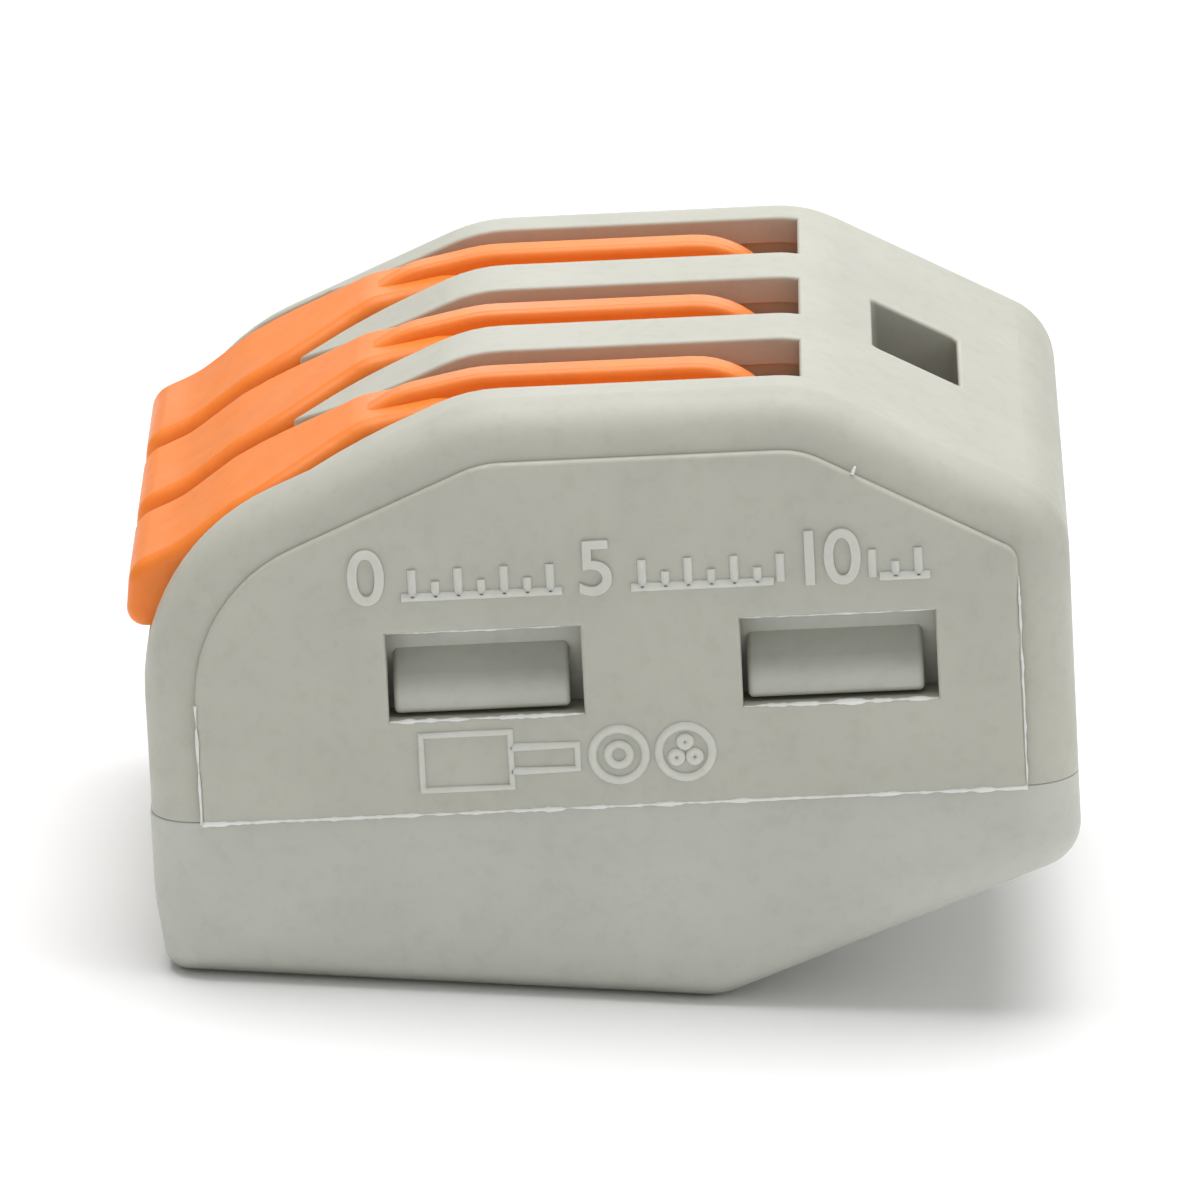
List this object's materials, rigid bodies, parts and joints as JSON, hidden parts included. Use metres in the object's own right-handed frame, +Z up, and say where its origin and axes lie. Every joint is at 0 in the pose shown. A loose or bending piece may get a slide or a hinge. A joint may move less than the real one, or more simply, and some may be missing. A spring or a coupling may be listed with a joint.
{
  "type": "lever wire connector",
  "caption": "Compact splicing connector: grey snap-together shell, orange clamp levers, cage springs and a shared bus bar for joining stripped copper wires.",
  "frame": {"origin": "bottom centre of the whole part's box, on the surface it rests on", "axes": "+X from the wire-entry end to the rear, +Y across the poles, +Z up from the flat underside"},
  "size_m": [0.021, 0.0176, 0.0139],
  "materials": {
    "housing_grey": "fine satin moulded surface",
    "base_grey": "fine satin moulded surface",
    "lever_orange": "smooth satin moulded surface",
    "spring_steel": "bright rolled strip",
    "tinned_copper": "dull tin plating on copper"
  },
  "bodies": {
    "shell": {"housing": "housing_grey", "base": "base_grey", "bus_bar": "tinned_copper"},
    "lever_1": {"lever_1": "lever_orange"},
    "clamp_1": {"clamp_spring_1": "spring_steel"},
    "lever_2": {"lever_2": "lever_orange"},
    "clamp_2": {"clamp_spring_2": "spring_steel"},
    "lever_3": {"lever_3": "lever_orange"},
    "clamp_3": {"clamp_spring_3": "spring_steel"}
  },
  "joints": [
    {"name": "lever_1_hinge", "type": "hinge", "parent": "shell", "child": "lever_1", "pos_m": [0.00173, -0.0051, 0.01164], "axis": [0, 1, 0], "range_deg": [0, 90]},
    {"name": "clamp_1_slide", "type": "slide", "parent": "shell", "child": "clamp_1", "axis": [0.0991, 0, -0.9951], "range_m": [0, 0.0022], "deforming": ["clamp_spring_1"]},
    {"name": "lever_2_hinge", "type": "hinge", "parent": "shell", "child": "lever_2", "pos_m": [0.00173, 0, 0.01164], "axis": [0, 1, 0], "range_deg": [0, 90]},
    {"name": "clamp_2_slide", "type": "slide", "parent": "shell", "child": "clamp_2", "axis": [0.0991, 0, -0.9951], "range_m": [0, 0.0022], "deforming": ["clamp_spring_2"]},
    {"name": "lever_3_hinge", "type": "hinge", "parent": "shell", "child": "lever_3", "pos_m": [0.00173, 0.0051, 0.01164], "axis": [0, 1, 0], "range_deg": [0, 90]},
    {"name": "clamp_3_slide", "type": "slide", "parent": "shell", "child": "clamp_3", "axis": [0.0991, 0, -0.9951], "range_m": [0, 0.0022], "deforming": ["clamp_spring_3"]}
  ],
  "couplings": [
    {"joint": "clamp_1_slide", "follows": "lever_1_hinge", "m_per_rad": 0.0014},
    {"joint": "clamp_2_slide", "follows": "lever_2_hinge", "m_per_rad": 0.0014},
    {"joint": "clamp_3_slide", "follows": "lever_3_hinge", "m_per_rad": 0.0014}
  ]
}
